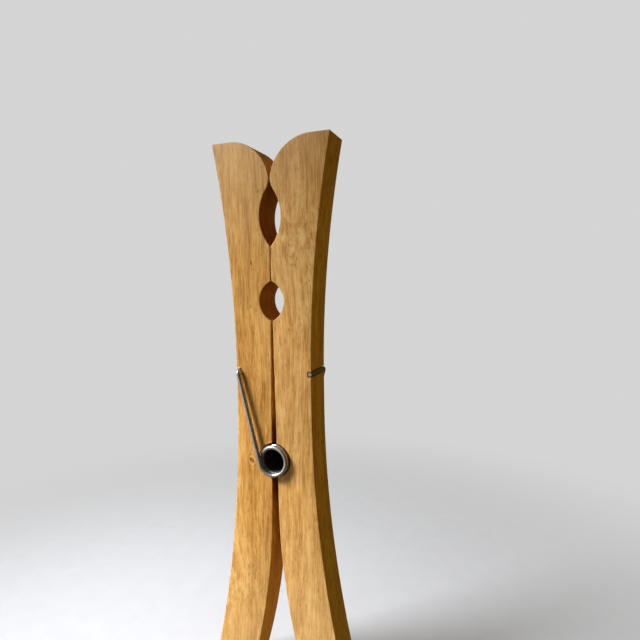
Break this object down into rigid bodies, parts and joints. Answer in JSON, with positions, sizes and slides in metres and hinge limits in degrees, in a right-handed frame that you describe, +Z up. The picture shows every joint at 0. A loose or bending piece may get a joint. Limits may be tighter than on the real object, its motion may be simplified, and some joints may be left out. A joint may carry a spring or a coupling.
{
  "type": "clothespin",
  "caption": "Giant decorative wooden spring clothespin: curved hardwood arms with lens-shaped holes, flared legs and round jaw lobes, held shut by a steel wire torsion spring.",
  "frame": {"origin": "on the floor under the middle of the clothespin, centred between the leg ends in X and in the board's thickness in Y", "axes": "+X towards the right arm seen from the front, +Y from the front face to the back face, +Z up from the leg ends to the jaws"},
  "size_m": [0.1744, 0.0547, 0.61],
  "materials": {
    "amber_wood": "satin clear varnish, straight grain with short pores, slightly orange",
    "pale_wood": "satin clear varnish, straight grain with short pores, slightly paler",
    "spring_wire": "bright drawn wire"
  },
  "bodies": {
    "left_arm": {"left_arm": "amber_wood", "torsion_spring": "spring_wire"},
    "right_arm": {"right_arm": "pale_wood"}
  },
  "joints": [
    {"name": "jaw_pivot", "type": "hinge", "parent": "left_arm", "child": "right_arm", "pos_m": [0, 0, 0.2704], "axis": [0, 1, 0], "range_deg": [0, 6.4], "stiffness_Nm_per_rad": 5.3, "springref_deg": -57.3, "deforming": ["torsion_spring"]}
  ]
}
